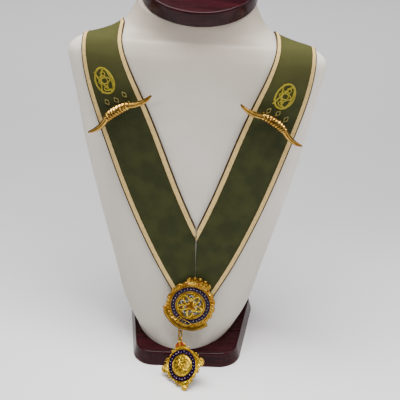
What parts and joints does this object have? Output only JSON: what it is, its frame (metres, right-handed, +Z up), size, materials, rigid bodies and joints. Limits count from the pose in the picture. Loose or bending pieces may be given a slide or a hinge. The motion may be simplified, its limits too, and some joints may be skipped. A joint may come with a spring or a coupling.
{
  "type": "ribbon chain of office with jewels on a neck bust",
  "caption": "Green ribbon chain of office in a V with gilt horn pins, a round enamelled jewel and a linked lozenge pendant, laid over a padded neck bust with a dark wooden base and cap.",
  "frame": {"origin": "on the floor, in the middle of the wooden base's width, 45.5 mm behind the base's front edge, under the padded bust", "axes": "+Z up, the chest and the jewels face -Y, +X towards the right of someone looking at the front"},
  "size_m": [0.22, 0.1543, 0.3666],
  "materials": {
    "dark_wood": "dark mahogany under a high gloss polish",
    "cream_leatherette": "fine grained cream leatherette, satin",
    "green_ribbon": "olive green ribbed ribbon with cream edge stripes",
    "gilt": "worn gilt metal",
    "navy_enamel": "dark violet blue enamel, glossy",
    "red_enamel": "copper red enamel, glossy"
  },
  "bodies": {
    "root": {"base_block": "dark_wood", "bust_form": "cream_leatherette", "neck_cap": "dark_wood", "collar_left": "green_ribbon", "collar_right": "green_ribbon", "horn_pin_left": "gilt", "horn_pin_right": "gilt", "breast_jewel_frame": "gilt", "breast_jewel_enamel": "navy_enamel", "breast_jewel_centre": "gilt", "jewel_link": "gilt", "pendant_frame": "gilt", "pendant_enamel": "navy_enamel", "pendant_centre": "gilt", "pendant_crown_cap": "red_enamel"}
  },
  "joints": []
}
